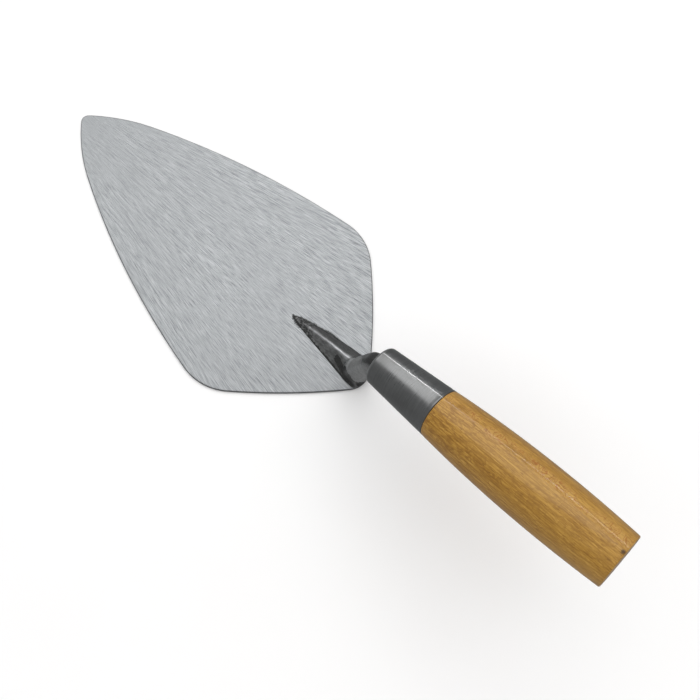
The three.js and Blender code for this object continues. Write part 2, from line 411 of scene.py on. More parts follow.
def neck_distance(x, y, z):
    """Roughly how far points are outside the neck: a bar with rounded corners that becomes round."""
    path = neck_path()
    along = np.gradient(path, axis=0)
    along /= np.linalg.norm(along, axis=1)[:, None]
    travelled = np.concatenate(([0], np.cumsum(np.linalg.norm(np.diff(path, axis=0), axis=1))))
    flat = np.stack((x[:, 0, :], z[:, 0, :]), axis=-1)
    offset = flat[:, :, None, :] - path
    nearest = (offset**2).sum(-1).argmin(-1)
    offset = flat - path[nearest]
    direction = along[nearest]
    depth = offset[..., 0] * direction[..., 1] - offset[..., 1] * direction[..., 0]
    beyond = offset[..., 0] * direction[..., 0] + offset[..., 1] * direction[..., 1]
    share = (travelled[nearest] / travelled[-1])[:, None, :]
    taper = np.minimum(share / NECK_TAPER_SHARE, 1)
    half_width = mix(NECK_FOOT_HALF_WIDTH, NECK_END_RADIUS, taper)
    half_depth = mix(NECK_FOOT_HALF_DEPTH, NECK_END_RADIUS, taper)
    across = y - mix(NECK_FOOT.y, 0, taper)
    squareness = mix(2.3, 3.0, smoothstep(0.2, 0.4, share)) - smoothstep(0.8, 0.97, share)
    section = np.abs(across / half_width) ** squareness
    section = section + np.abs(depth[:, None, :] / half_depth) ** squareness
    distance = (section ** (1 / squareness) - 1) * np.minimum(half_width, half_depth)
    past_end = np.where(nearest == len(path) - 1, beyond, -10)[:, None, :]
    return np.maximum(distance, past_end)


def skin_of(distance, xs, ys, zs):
    """The closed quad mesh where a grid of distances passes zero: one point in each cell it crosses."""
    inside = distance < 0
    cell_shape = np.array(inside.shape) - 1
    total = np.zeros(tuple(cell_shape) + (3,))
    crossings = np.zeros(cell_shape)
    steps = [(0, 0, 0), (0, 0, 1), (0, 1, 0), (0, 1, 1), (1, 0, 0), (1, 0, 1), (1, 1, 0), (1, 1, 1)]

    def corner(values, step):
        return values[tuple(slice(s, s + n) for s, n in zip(step, cell_shape))]

    for a in steps:
        for axis in range(3):
            if a[axis]:
                continue
            b = tuple(s + (i == axis) for i, s in enumerate(a))
            value_a, value_b = corner(distance, a), corner(distance, b)
            crosses = (value_a < 0) != (value_b < 0)
            share = np.where(crosses, value_a / np.where(crosses, value_a - value_b, 1), 0)
            for i in range(3):
                total[..., i] += np.where(crosses, a[i] + (share if i == axis else 0), 0)
            crossings += crosses
    used = crossings > 0
    number = np.full(cell_shape, -1)
    number[used] = np.arange(used.sum())
    where = np.argwhere(used) + total[used] / crossings[used][:, None]
    origin = np.array((xs[0], ys[0], zs[0]))
    spacing = np.array((xs[1] - xs[0], ys[1] - ys[0], zs[1] - zs[0]))
    faces = []
    for axis in range(3):
        side, up = (axis + 1) % 3, (axis + 2) % 3
        low = [slice(None)] * 3
        high = [slice(None)] * 3
        low[axis], high[axis] = slice(None, -1), slice(1, None)
        crosses = inside[tuple(low)] != inside[tuple(high)]
        cells = np.argwhere(crosses)
        cells = cells[(cells[:, side] > 0) & (cells[:, up] > 0)]
        cells = cells[(cells[:, side] < cell_shape[side]) & (cells[:, up] < cell_shape[up])]
        leaving = inside[tuple(cells.T)]
        corners = []
        for back_side, back_up in ((1, 1), (0, 1), (0, 0), (1, 0)):
            cell = cells.copy()
            cell[:, side] -= back_side
            cell[:, up] -= back_up
            corners.append(number[tuple(cell.T)])
        quads = np.column_stack(corners)
        quads[~leaving] = quads[~leaving][:, ::-1]
        faces += quads.tolist()
    return where * spacing + origin, faces


def shank():
    """Root and neck in one skin, with a beaded hollow where the neck grows out of the ridge."""
    xs, ys, zs = (np.arange(low, high, SKIN_STEP) for low, high in zip(SKIN_LOW, SKIN_HIGH))
    x, y, z = np.meshgrid(xs, ys, zs, indexing="ij")
    root, neck = root_distance(x, y, z), neck_distance(x, y, z)
    neck = smooth_max(neck, beyond_heel(x, y) - 0.4 * z, 1.5)
    in_front = smoothstep(9, 13, x)
    neck = neck - 0.4 * in_front * np.exp(-(((root - 2.0) / 0.8) ** 2))
    distance = smooth_min(root, neck, mix(2.6, 1.2, in_front))
    hollow = 0.8 - np.sqrt(root**2 + neck**2)
    distance = smooth_max(distance, mix(-3.0, hollow, in_front), 0.7)
    distance[[0, -1]] = 1
    distance[:, [0, -1]] = 1
    distance[:, :, [0, -1]] = 1
    points, faces = skin_of(distance, xs, ys, zs)
    piece = new_object("shank", points, faces)
    face_outwards(piece)
    even = piece.modifiers.new("even", "SMOOTH")
    even.iterations = 2
    even.factor = 0.4
    apply_modifiers(piece)
    return piece


def tang():
    """The square spike inside the handle."""
    points, faces = [], []
    up = Vector((HANDLE_DIRECTION.z, 0, -HANDLE_DIRECTION.x))
    for distance, corner in (
        (TANG_START, TANG_ROOT_CORNER),
        (TANG_END - TANG_POINT, TANG_END_CORNER),
        (TANG_END, TANG_POINT_CORNER),
    ):
        middle = on_handle_axis(distance)
        for turn in range(4):
            angle = math.radians(45 + 90 * turn)
            points.append(middle + corner * (math.cos(angle) * Vector((0, 1, 0)) + math.sin(angle) * up))
    for ring in range(2):
        for i in range(4):
            j = (i + 1) % 4
            faces.append((4 * ring + i, 4 * ring + j, 4 * ring + 4 + j, 4 * ring + 4 + i))
    faces += [(3, 2, 1, 0), (8, 9, 10, 11)]
    piece = new_object("tang", points, faces)
    face_outwards(piece)
    return piece


# ---- Ferrule and handle -----------------------------------------------------------------------------------
def ferrule_radius(distance):
    return mix(FERRULE_FRONT_RADIUS, FERRULE_REAR_RADIUS, distance / FERRULE_LENGTH)


def ferrule():
    """A drawn steel cup: a rounded front corner, a hole for the neck, and a line pressed near its rear."""
    rounding = FERRULE_ROUNDING
    hole = NECK_END_RADIUS + 0.25
    centre = ferrule_radius(rounding) - rounding
    profile = quarter_round(hole + 0.4, 0.4, 0.4, 180, 270, 4)
    profile += quarter_round(centre, rounding, rounding, -90, 0, 10)
    plain_end = FERRULE_LENGTH - 2.6
    for i in range(1, 31):
        distance = mix(rounding, plain_end, i / 30)
        profile.append((ferrule_radius(distance), distance))
    for offset, depth in PRESSED_LINE:
        distance = FERRULE_LENGTH - offset
        profile.append((ferrule_radius(distance) - depth, distance))
    profile += quarter_round(FERRULE_REAR_RADIUS - 0.35, FERRULE_LENGTH - 0.35, 0.35, 0, 90, 4)
    profile += [
        (FERRULE_REAR_RADIUS - FERRULE_WALL, FERRULE_LENGTH),
        (ferrule_radius(rounding) - FERRULE_WALL, rounding),
        (centre, FERRULE_WALL),
        (hole, FERRULE_WALL),
    ]
    profile.append(profile[0])
    piece = lathe("steel_ferrule", profile, 144)
    piece.data.materials.append(drawn_ferrule_steel())
    add_values(piece, "along", vertices_of(piece))      # up, to the blade's left, and along the axis
    onto_handle_axis(piece)
    return piece


def grip_radius(share):
    return mix(FERRULE_REAR_RADIUS, BUTT_RADIUS, share) + HANDLE_SWELL * (1 - (2 * share - 1) ** 2)


def handle():
    """A turned grip with a long swell, a tenon inside the ferrule and a blind bore for the tang."""
    bore = TANG_ROOT_CORNER + 0.3
    tenon_gap = FERRULE_WALL + 0.2
    start = FERRULE_LENGTH + GRIP_GAP
    rounding = BUTT_ROUNDING
    end = HANDLE_LENGTH - rounding
    chamfer_end = TENON_START + TENON_CHAMFER.y
    profile = [
        (0, TANG_END + 3),
        (bore, TANG_END + 1),
        (bore, TENON_START),
        (ferrule_radius(TENON_START) - tenon_gap - TENON_CHAMFER.x, TENON_START),
        (ferrule_radius(chamfer_end) - tenon_gap, chamfer_end),
        (FERRULE_REAR_RADIUS - tenon_gap, start),
    ]
    profile += quarter_round(grip_radius(0) - 0.3, start + 0.3, 0.3, -90, 0, 3)
    steps = 60
    for i in range(1, steps + 1):
        share = i / steps
        profile.append((grip_radius(share), mix(start, end, share)))
    profile += quarter_round(grip_radius(1) - rounding, end, rounding, 0, 90, 8)[1:]
    profile += [(radius, HANDLE_LENGTH) for radius in (11, 8, 5, 2.5, 0)]
    piece = lathe("wooden_handle", profile, 128)
    piece.data.materials.append(varnished_wood())
    add_values(piece, "grain", vertices_of(piece))      # up, to the blade's left, and along the axis
    onto_handle_axis(piece)
    return piece


# ---- Material building blocks -----------------------------------------------------------------------------
class Nodes:
    """Adds nodes to one material with little writing."""

    def __init__(self, name):
        self.material = bpy.data.materials.new(name)
        self.material.use_nodes = True
        self.tree = self.material.node_tree
        self.tree.nodes.clear()
        self.shader = self.tree.nodes.new("ShaderNodeBsdfPrincipled")
        output = self.tree.nodes.new("ShaderNodeOutputMaterial")
        self.tree.links.new(self.shader.outputs[0], output.inputs[0])

    def put(self, value, socket):
        if isinstance(value, bpy.types.NodeSocket):
            self.tree.links.new(value, socket)
        else:
            socket.default_value = value

    def attribute(self, name, output="Fac"):
        node = self.tree.nodes.new("ShaderNodeAttribute")
        node.attribute_name = name
        return node.outputs[output]

    def parts(self, vector):
        node = self.tree.nodes.new("ShaderNodeSeparateXYZ")
        self.put(vector, node.inputs[0])
        return tuple(node.outputs)

    def distance_from(self, vector, point):
        node = self.tree.nodes.new("ShaderNodeVectorMath")
        node.operation = "DISTANCE"
        self.put(vector, node.inputs[0])
        node.inputs[1].default_value = point
        return node.outputs["Value"]

    def math(self, operation, a, b=0.0):
        node = self.tree.nodes.new("ShaderNodeMath")
        node.operation = operation
        for value, socket in zip((a, b), node.inputs):
            self.put(value, socket)
        return node.outputs[0]

    def stretched(self, vector, scale, offset=(0, 0, 0)):
        node = self.tree.nodes.new("ShaderNodeMapping")
        self.put(vector, node.inputs["Vector"])
        node.inputs["Scale"].default_value = scale
        node.inputs["Location"].default_value = offset
        return node.outputs[0]

    def noise(self, vector, scale=1.0, detail=2.0, roughness=0.5, distortion=0.0):
        node = self.tree.nodes.new("ShaderNodeTexNoise")
        self.put(vector, node.inputs["Vector"])
        node.inputs["Scale"].default_value = scale
        node.inputs["Detail"].default_value = detail
        node.inputs["Roughness"].default_value = roughness
        node.inputs["Distortion"].default_value = distortion
        return node.outputs["Fac"]

    def remap(self, value, low, high, to_low=0.0, to_high=1.0, smooth=False):
        node = self.tree.nodes.new("ShaderNodeMapRange")
        if smooth:
            node.interpolation_type = "SMOOTHSTEP"
        for entry, socket in zip((value, low, high, to_low, to_high), node.inputs):
            self.put(entry, socket)
        return node.outputs[0]

    def ramp(self, value, stops):
        node = self.tree.nodes.new("ShaderNodeValToRGB")
        self.put(value, node.inputs[0])
        elements = node.color_ramp.elements
        while len(elements) < len(stops):
            elements.new(0.5)
        for element, (position, colour) in zip(elements, stops):
            element.position = position
            element.color = (*colour, 1)
        return node.outputs[0]

    def blend(self, share, a, b):
        node = self.tree.nodes.new("ShaderNodeMix")
        node.data_type = "RGBA"
        self.put(share, node.inputs["Factor"])
        for value, socket in ((a, node.inputs[6]), (b, node.inputs[7])):
            self.put(value if isinstance(value, bpy.types.NodeSocket) else (*value, 1), socket)
        return node.outputs[2]

    def bump(self, height, strength, distance, below=None):
        node = self.tree.nodes.new("ShaderNodeBump")
        node.inputs["Strength"].default_value = strength
        node.inputs["Distance"].default_value = distance
        self.put(height, node.inputs["Height"])
        if below is not None:
            self.put(below, node.inputs["Normal"])
        return node.outputs[0]

    def finish(self, **sockets):
        names = {
            "colour": "Base Color",
            "roughness": "Roughness",
            "metallic": "Metallic",
            "normal": "Normal",
            "anisotropy": "Anisotropic",
            "tangent": "Tangent",
            "specular": "Specular IOR Level",
            "coat": "Coat Weight",
            "coat_roughness": "Coat Roughness",
        }
        for name, value in sockets.items():
            self.put(value, self.shader.inputs[names[name]])
        return self.material


def object_place(nodes):
    """Places in millimetres over the whole object."""
    node = nodes.tree.nodes.new("ShaderNodeTexCoord")
    return nodes.stretched(node.outputs["Object"], (1 / MM,) * 3)


def brushed_blade_steel():
    """Bright steel with fine grinding scratches that fan out over the blade."""
    nodes = Nodes("brushed_blade_steel")
    brushing = nodes.attribute("brushing", "Vector")
    coarse = nodes.noise(nodes.stretched(brushing, (0.09, 2.4, 1.0)), 1.0, 4, 0.64)
    fine = nodes.noise(nodes.stretched(brushing, (0.12, 4.6, 1.0), (31, 7, 0)), 1.0, 3, 0.6)
    cloud = nodes.noise(nodes.stretched(brushing, (0.013, 0.035, 1), (3, 40, 0)), 1.0, 2, 0.5)
    streaks = nodes.math("ADD", nodes.math("MULTIPLY", coarse, 0.5), nodes.math("MULTIPLY", fine, 0.5))
    tone = nodes.remap(streaks, 0.38, 0.62)
    greys = [(0.0, (0.16, 0.168, 0.175)), (0.5, (0.385, 0.40, 0.41)), (1.0, (0.61, 0.622, 0.63))]
    colour = nodes.ramp(tone, greys)
    colour = nodes.blend(nodes.remap(cloud, 0.35, 0.65, 0.0, 0.4), colour, (0.36, 0.37, 0.38))
    # Painted shade: the rounded rim, within 0.8 mm of the edge, is coloured nearly black.
    painted_rim_shade = nodes.remap(nodes.attribute("edge_depth"), 0.1, 0.8, 0.85, 0.0)
    colour = nodes.blend(painted_rim_shade, colour, (0.07, 0.071, 0.073))
    ragged = nodes.noise(object_place(nodes), 1.1, 3, 0.7)
    scale = nodes.remap(nodes.math("ADD", nodes.attribute("near_root"), ragged), 1.16, 1.4, 0.0, 0.85)
    colour = nodes.blend(scale, colour, (0.035, 0.035, 0.034))
    rougher = nodes.math("MULTIPLY", scale, 0.3)
    roughness = nodes.math("ADD", nodes.remap(streaks, 0.36, 0.64, 0.33, 0.47), rougher)
    normal = nodes.bump(streaks, 0.3, 0.00015)
    return nodes.finish(colour=colour, roughness=roughness, metallic=0.6, normal=normal, anisotropy=0.55,
                        tangent=brushing_tangent(nodes))


def brushing_tangent(nodes):
    node = nodes.tree.nodes.new("ShaderNodeTangent")
    node.direction_type = "UV_MAP"
    node.uv_map = "brushing_map"
    return node.outputs[0]


def forged_shank_steel():
    """Dark ground steel with black forge scale; painted shade in the hollows and on the flanks, painted light
    on the neck and a painted highlight, partly polish, along the crest.
    """
    nodes = Nodes("forged_shank_steel")
    place = object_place(nodes)
    ragged = nodes.noise(place, 0.42, 5, 0.68)
    pits = nodes.noise(place, 1.9, 3, 0.62, 0.4)
    # Black forge scale, and painted shade in the groove and crease round the neck's foot and along the root's
    # left flank.
    cover = nodes.math("ADD", nodes.attribute("scale_and_shade_cover"), nodes.remap(ragged, 0.32, 0.68, -0.42, 0.42))
    scale = nodes.remap(cover, 0.44, 0.62, 0.0, 1.0, True)
    marks = nodes.noise(nodes.stretched(place, (0.35, 0.9, 0.5)), 1.0, 4, 0.6)
    greys = [(0.3, (0.10, 0.101, 0.10)), (0.5, (0.16, 0.162, 0.16)), (0.7, (0.24, 0.242, 0.239))]
    ground = nodes.ramp(marks, greys)
    black = nodes.ramp(pits, [(0.35, (0.008, 0.008, 0.008)), (0.65, (0.05, 0.05, 0.048))])
    # Painted light on the neck's left side.
    lit_neck = nodes.math("MULTIPLY", nodes.attribute("neck_painted_light"), nodes.remap(marks, 0.3, 0.6, 0.3, 0.8))
    ground = nodes.blend(lit_neck, ground, (0.36, 0.362, 0.358))
    # Painted shade, nearly black, on the root's right flank and left border and on the neck's front.
    ground = nodes.blend(nodes.attribute("painted_shade"), ground, (0.045, 0.045, 0.044))
    colour = nodes.blend(scale, ground, black)
    # Painted highlight, partly polished steel, along the crest, over the neck's foot and by the left border.
    crest = nodes.math("MULTIPLY", nodes.attribute("crest"), nodes.remap(marks, 0.3, 0.6, 0.55, 1.0))
    colour = nodes.blend(crest, colour, (0.8, 0.81, 0.82))
    uneven = nodes.remap(pits, 0.3, 0.7, -0.06, 0.06)
    roughness = nodes.math("ADD", nodes.remap(scale, 0, 1, 0.42, 0.62), uneven)
    metallic = nodes.math("MAXIMUM", nodes.remap(scale, 0, 1, 0.6, 0.2), crest)
    normal = nodes.bump(pits, 0.5, 0.0004, nodes.bump(ragged, 0.3, 0.0008))
    return nodes.finish(colour=colour, roughness=roughness, metallic=metallic, normal=normal)


def drawn_ferrule_steel():
    """Matt drawn steel with fine rings of turning, a painted highlight on its front rim and a painted
    reflection line along it.
    """
    nodes = Nodes("drawn_ferrule_steel")
    place = nodes.attribute("along", "Vector")
    rings = nodes.noise(nodes.stretched(place, (0.08, 0.08, 3.6)), 1.0, 3, 0.6)
    smudge = nodes.noise(nodes.stretched(place, (0.11, 0.11, 0.06)), 1.0, 3, 0.55)
    colour = nodes.ramp(rings, [(0.3, (0.235, 0.238, 0.238)), (0.7, (0.335, 0.338, 0.337))])
    colour = nodes.blend(nodes.remap(smudge, 0.38, 0.68, 0.0, 0.5), colour, (0.19, 0.19, 0.187))
    up, left, distance = nodes.parts(place)
    # Painted highlight along the ferrule's rounded front rim.
    colour = nodes.blend(nodes.remap(distance, 0.3, 2.2, 0.55, 0.0), colour, (0.62, 0.62, 0.62))
    # Painted reflection: a thin bright line along the ferrule's length.
    from_highlight_line = nodes.math("SUBTRACT", nodes.math("ARCTAN2", left, up), HIGHLIGHT_LINE_ANGLE)
    on_highlight_line = nodes.remap(nodes.math("ABSOLUTE", from_highlight_line), 0.005, 0.022, 1.0, 0.0, True)
    highlight_line = nodes.math("MULTIPLY", on_highlight_line, nodes.remap(rings, 0.35, 0.6, 0.35, 1.0))
    colour = nodes.blend(highlight_line, colour, (0.85, 0.86, 0.86))
    smeared = nodes.remap(smudge, 0.3, 0.7, 0, 0.08)
    roughness = nodes.math("ADD", nodes.remap(rings, 0.3, 0.7, 0.25, 0.33), smeared)
    normal = nodes.bump(rings, 0.2, 0.0001)
    return nodes.finish(colour=colour, roughness=roughness, metallic=1.0, normal=normal)


def growth_rings(nodes, place):
    """Dark late wood, 0 to 1, about a pith far below the handle; it surfaces as loops along the top."""
    up, left, _ = nodes.parts(place)
    rise = nodes.math("ADD", up, PITH_DEPTH)
    squares = nodes.math("ADD", nodes.math("POWER", rise, 2), nodes.math("POWER", left, 2))
    radius = nodes.math("SQRT", squares)
    sway = nodes.noise(nodes.stretched(place, (0.05, 0.05, 0.009)), 1.0, 2, 0.5)
    ripple = nodes.noise(nodes.stretched(place, (0.15, 0.34, 0.22), (4, 9, 2)), 1.0, 2, 0.5, 0.5)
    wandering = nodes.math("ADD", radius, nodes.remap(sway, 0.25, 0.75, -3.0, 3.0))
    wandering = nodes.math("ADD", wandering, nodes.remap(ripple, 0.3, 0.7, -0.8, 0.8))
    ring = nodes.math("FRACT", nodes.math("DIVIDE", wandering, RING_SPACING))
    darkening = nodes.remap(ring, 0.45, 0.85, 0, 1, True)
    return nodes.math("MULTIPLY", darkening, nodes.remap(ring, 0.88, 1.0, 1, 0))


def figured_band(nodes, place):
    """A pale band in patches along the top of the handle, 0 to 1, and the small broken curls in it."""
    up, left, _ = nodes.parts(place)
    curl = nodes.noise(nodes.stretched(place, (0.1, 0.27, 0.3), (1, 3, 8)), 1.0, 1, 0.4, 0.5)
    line = nodes.math("FRACT", nodes.math("MULTIPLY", curl, 6.0))
    fading = nodes.remap(line, 0.4, 0.75, 1, 0, True)
    thin = nodes.math("MULTIPLY", nodes.remap(line, 0.1, 0.4, 0, 1, True), fading)
    patches = nodes.noise(nodes.stretched(place, (0.1, 0.1, 0.07), (2, 6, 1)), 1.0, 1, 0.5)
    band = nodes.remap(nodes.math("ABSOLUTE", nodes.math("ADD", left, 5.0)), 1.4, 4.2, 1.0, 0.0, True)
    on_top = nodes.math("MULTIPLY", band, nodes.remap(up, 4.0, 9.0))
    band = nodes.math("MULTIPLY", on_top, nodes.remap(patches, 0.36, 0.5))
    return band, nodes.math("MULTIPLY", thin, band)


def varnished_wood():
    """Golden hardwood under clear varnish: straight fibres, short dark pores, rings and a figured band."""
    nodes = Nodes("varnished_wood")
    place = nodes.attribute("grain", "Vector")
    fibres = nodes.noise(nodes.stretched(place, (1.1, 1.1, 0.04)), 1.5, 4, 0.7)
    pores = nodes.noise(nodes.stretched(place, (2.3, 2.3, 0.3), (9, 2, 5)), 1.0, 2, 0.5)
    broad = nodes.noise(nodes.stretched(place, (0.07, 0.07, 0.012), (5, 5, 1)), 1.0, 2, 0.5)
    browns = [(0.34, (0.25, 0.113, 0.012)), (0.5, (0.385, 0.196, 0.027)), (0.66, (0.53, 0.30, 0.056))]
    base = nodes.ramp(fibres, browns)
    late = nodes.math("MULTIPLY", growth_rings(nodes, place), nodes.remap(broad, 0.35, 0.65, 0.65, 0.3))
    colour = nodes.blend(late, base, (0.23, 0.10, 0.013))
    band, curls = figured_band(nodes, place)
    colour = nodes.blend(nodes.math("MULTIPLY", band, 0.45), colour, (0.60, 0.36, 0.10))
    colour = nodes.blend(nodes.math("MULTIPLY", curls, 0.85), colour, (0.29, 0.085, 0.008))
    colour = nodes.blend(nodes.remap(pores, 0.56, 0.68, 0.0, 0.6), colour, (0.17, 0.065, 0.01))
    colour = nodes.blend(nodes.remap(broad, 0.4, 0.7, 0.0, 0.3), colour, (0.47, 0.265, 0.055))
    knot = nodes.remap(nodes.distance_from(place, KNOT), 0.6, 1.4, 0.85, 0.0)
    colour = nodes.blend(knot, colour, (0.05, 0.022, 0.006))
    roughness = nodes.remap(fibres, 0.34, 0.66, 0.34, 0.48)
    normal = nodes.bump(fibres, 0.2, 0.0002, nodes.bump(pores, 0.15, 0.0002))
    return nodes.finish(colour=colour, roughness=roughness, metallic=0.0, normal=normal, specular=0.3,
                        coat=0.5, coat_roughness=0.1)


# ---- Where each finish, painted shade and painted light lies on the forging -------------------------------
# Each mask gives 0 to 1 for points of the forging. In them x is the distance from the blade's heel, y from
# its centre line and z from its underside, and from_neck is how far a point is outside the neck.
FAN_CENTRE = np.array((400.0, 10.0))      # the brushing spreads from a point far ahead of the tip
FAN_SPREAD = 300                          # millimetres of texture for each radian of the fan


def brushing_coordinates(points):
    offset = FAN_CENTRE - points[:, :2]
    reach = np.linalg.norm(offset, axis=1)
    angle = np.arctan2(offset[:, 1], offset[:, 0])
    return np.column_stack((reach, angle * FAN_SPREAD, points[:, 2]))


def ridge(distance, width):
    """1 on a line, falling softly to 0 within about twice a width of it."""
    return np.exp(-((distance / width) ** 2))


def inside_root_border(x, y):
    return root_half_width(x) - np.abs(y - root_middle(x))


def scale_and_shade_cover(x, y, z, from_neck):
    """How black the forging is painted: forge scale at the root's border and at its point, and painted shade
    in the groove and crease round the neck's foot and in a band on the root's left flank.
    """
    above_root = z - root_roof(x, y)
    # Painted shade, as black: the groove beside the neck's foot, the crease where the neck meets the root, and
    # a band on the root's left flank.
    in_groove = smoothstep(2.6, 0.5, from_neck) * smoothstep(15, 9, z) * smoothstep(14, 11, x)
    at_neck_foot = ridge(above_root, 1.2) * ridge(from_neck, 1.2) * smoothstep(7, 10, x)
    band_middle = 4.1 - 2.6 * smoothstep(13, 23, x) - 1.5 * smoothstep(6, 0, x)
    left_band = smoothstep(2.3, 1.0, np.abs(y - band_middle))
    left_band *= smoothstep(27, 21, x) * smoothstep(18, 12, z)
    along_border = np.maximum(smoothstep(8, 30, x), smoothstep(0, 1, y) * smoothstep(2, 6, x))
    at_border = smoothstep(1.8, 0.4, inside_root_border(x, y)) * along_border
    at_point = smoothstep(34, 52, x)
    border_share = mix(0.75, 0.95, smoothstep(0, 1, y) * smoothstep(30, 26, x))
    weights = (0.9 * in_groove, at_neck_foot, left_band, border_share * at_border, 0.62 * at_point)
    return np.max(weights, axis=0)


def painted_dark_shade(x, y, z, from_neck):
    """Painted shade, smooth and nearly black: the root's right flank and left border, and the neck's front."""
    on_root = smoothstep(0.4, 1.2, from_neck)
    right_flank = smoothstep(-0.8, -2.6, y - root_middle(x)) * smoothstep(56, 44, x) * on_root
    left_border = smoothstep(4.5, 2.0, inside_root_border(x, y)) * smoothstep(26, 20, x) * on_root
    facet_edge = mix(-1.0, 4.5, smoothstep(41, 58, z))
    neck_front = smoothstep(0.9, -0.3, y - facet_edge) * smoothstep(36, 41, z)
    return np.max((0.6 * right_flank, 0.5 * left_border, 0.95 * neck_front), axis=0)


def polish_and_painted_highlight(x, y, z, from_neck):
    """Painted highlight, partly polished steel: along the root's crest, over the neck's foot and on the root's
    left border.
    """
    fan_out = smoothstep(21, 15, x)
    on_crest = ridge(y - root_middle(x), mix(0.85, 2.4, fan_out)) * (1 - 0.3 * fan_out)
    on_crest *= smoothstep(13, 16, x) * smoothstep(56, 44, x) * mix(1.0, 0.4, smoothstep(27, 34, x))
    foot_arc = smoothstep(13, 15, z) * smoothstep(27, 18, z)
    foot_arc *= smoothstep(9.5, 12, x) * smoothstep(0.8, 0.1, from_neck)
    border = ridge(inside_root_border(x, y) - 2.4, 0.5) * smoothstep(0, 2, y) * smoothstep(14, 10, x)
    return np.max((on_crest, 0.45 * foot_arc, 0.15 * border), axis=0)


def painted_neck_light(x, y, z, from_neck):
    """Painted light: the neck's left side, a little brighter below the ferrule."""
    above_root = z - root_roof(x, y)
    on_neck = smoothstep(0.8, 0.1, from_neck) * smoothstep(2.0, 3.5, above_root)
    return on_neck * smoothstep(-4, 0, y) * smoothstep(54, 40, z)


def scale_beside_root(x, y, z):
    """Scale that runs a little way onto the blade along the root's right border and round its point."""
    from_border = np.hypot(np.maximum(x - ROOT_POINT, 0), np.maximum(-inside_root_border(x, y), 0))
    right_or_point = np.maximum(smoothstep(1, -1, y - root_middle(x)), smoothstep(46, 56, x))
    return smoothstep(3.0, 0.2, from_border) * smoothstep(22, 34, x) * right_or_point * (z > 1)


# ---- Pieces -----------------------------------------------------------------------------------------------
def add_brushing_map(piece, brushing):
    """The brushing again as a UV map, from which the steel's tangent is taken."""
    layer = piece.data.uv_layers.new(name="brushing_map")
    corners = np.empty(len(piece.data.loops), int)
    piece.data.loops.foreach_get("vertex_index", corners)
    layer.data.foreach_set("uv", (brushing[corners, :2] / FAN_CENTRE[0]).astype(np.float32).ravel())


def forging():
    """Blade, root, neck and tang as one skin, bright on the blade and dark on the shank."""
    piece = blade_plate()
    unite(piece, shank())
    unite(piece, tang())
    points = vertices_of(piece)
    x, y, z = points.T
    from_neck = neck_distance(*(values[:, None, None] for values in (x, y, z)))[:, 0, 0]
    add_values(piece, "scale_and_shade_cover", scale_and_shade_cover(x, y, z, from_neck))
    add_values(piece, "crest", polish_and_painted_highlight(x, y, z, from_neck))
    add_values(piece, "painted_shade", painted_dark_shade(x, y, z, from_neck))
    add_values(piece, "neck_painted_light", painted_neck_light(x, y, z, from_neck))
    add_values(piece, "near_root", scale_beside_root(x, y, z))
    add_values(piece, "edge_depth", distance_to_edge(points[:, :2], blade_outline()))
    brushing = brushing_coordinates(points)
    add_values(piece, "brushing", brushing)
    add_brushing_map(piece, brushing)

    piece.data.materials.clear()
    piece.data.materials.append(brushed_blade_steel())
    piece.data.materials.append(forged_shank_steel())
    middles = np.array([p.center for p in piece.data.polygons])
    above_plate = middles[:, 2] - plate_top(middles[:, 0])
    aside = np.abs(middles[:, 1] - root_middle(middles[:, 0]))
    on_root = (aside < root_half_width(middles[:, 0])) & (above_plate > 0.04)
    piece.data.polygons.foreach_set("material_index", (on_root | (above_plate > 0.2)).astype(np.int32))
    return piece


def smooth_shade(piece, angle):
    piece.data.shade_smooth()
    piece.data.set_sharp_from_angle(angle=math.radians(angle))


def place_pieces():
    for piece, node, slot, angle in (
        (forging(), "blade_forging", "blade_steel", 35),
        (ferrule(), "ferrule", "ferrule_steel", 40),
        (handle(), "handle", "handle_wood", 40),
    ):
        to_frame(piece)
        smooth_shade(piece, angle)
        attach(piece, "root")
        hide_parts(node)


# ---- Studio -----------------------------------------------------------------------------------------------
# Lengths are metres here, apart from those inside a material, which are millimetres. Directions are degrees:
# azimuth 0 is ahead of the blade's tip, and 90 is to its left.
WHITE_LEVEL = 1.05           # just over white, for the backdrop and the far floor
WORLD_COLOUR = (0.97, 0.985, 1.0, 1)
WORLD_STRENGTH = 0.26
FLOOR_RADIUS = 9
FLOOR_DROP = 0.0002          # the floor lies this far below the blade
STRIP_LENGTH = 1.4
STRIP_WIDTH = 0.04
STRIP_DISTANCE = 1.3
STRIP_RADIANCE = 10
CAMERA_TURN = math.radians(136.1425)
CAMERA_ELEVATION = math.radians(70.1309)
CAMERA_ROLL = math.radians(1.2784)
CAMERA_LENS = 37.8725        # millimetres, on a sensor 36 mm wide
CAMERA_PLACE = (-0.16838, 0.10405, 0.43772)


def hide_from(thing, *rays):
    for ray in rays:
        setattr(thing, "visible_" + ray, False)


